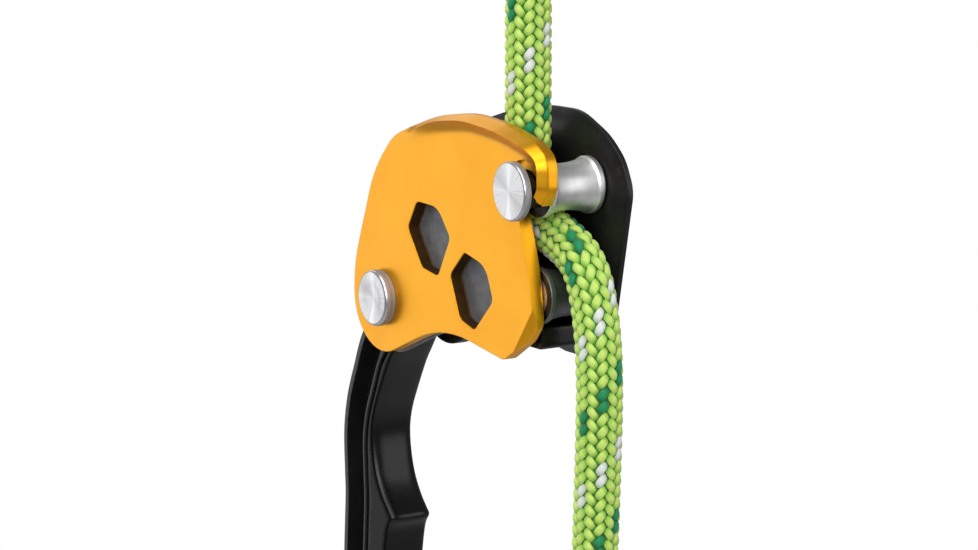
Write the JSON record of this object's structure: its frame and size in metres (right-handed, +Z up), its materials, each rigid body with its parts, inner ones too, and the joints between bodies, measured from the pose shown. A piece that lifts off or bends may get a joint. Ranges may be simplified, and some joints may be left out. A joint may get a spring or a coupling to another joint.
{
  "type": "rope friction brake",
  "caption": "Arborist rope friction brake: two fixed bollards between a fixed and an opening side plate, articulated arm with finger grip, short rope through it.",
  "frame": {"origin": "axis of the upper bollard, halfway between the two side plates, where the rope holds the part", "axes": "+Z up along the hanging rope, +X from the arm pivot towards the rope side, +Y from the opening side plate towards the fixed side plate"},
  "size_m": [0.1332, 0.0351, 0.3881],
  "materials": {
    "gold_anodised": "satin gold anodised, fine blasted grain",
    "black_forged": "semi-gloss black anodised forging",
    "black_polymer": "matte fine-grained black polymer",
    "grey_steel": "dull grey, mottled",
    "stainless": "turned and radially brushed",
    "bronze": "plain bearing bronze",
    "rope_sheath": "braided light green with white and dark green tracers",
    "shrink_sleeve": "matte black heat-shrunk sleeve"
  },
  "bodies": {
    "head": {"fixed_plate": "black_forged", "channel_block": "black_polymer", "liner_plate": "grey_steel", "upper_bollard": "stainless", "lower_bollard": "stainless", "upper_bolt": "stainless", "lower_bolt": "stainless", "upper_nut": "stainless", "lower_nut": "stainless", "pivot_axle": "stainless", "pivot_head_washer": "stainless", "pivot_nut": "stainless", "arm_washer_front": "bronze", "arm_washer_rear": "bronze", "block_screw_1": "stainless", "block_screw_2": "stainless", "rope_upper": "rope_sheath", "rope_lower": "rope_sheath", "rope_top_sleeve": "shrink_sleeve", "rope_top_eye": "rope_sheath", "rope_end_sleeve": "shrink_sleeve"},
    "mobile_side_plate": {"mobile_plate": "gold_anodised", "mobile_plate_bush": "bronze"},
    "arm": {"arm_bar": "black_forged", "arm_pivot_bush": "bronze", "arm_eye_bush": "stainless", "arm_grip": "black_polymer"}
  },
  "joints": [
    {"name": "side_plate_hinge", "type": "hinge", "parent": "head", "child": "mobile_side_plate", "pos_m": [-0.0717, 0, -0.0391], "axis": [0, -1, 0], "range_deg": [0, 115]},
    {"name": "arm_hinge", "type": "hinge", "parent": "head", "child": "arm", "pos_m": [-0.0717, 0, -0.0391], "axis": [0, -1, 0], "range_deg": [-75, 30]}
  ]
}
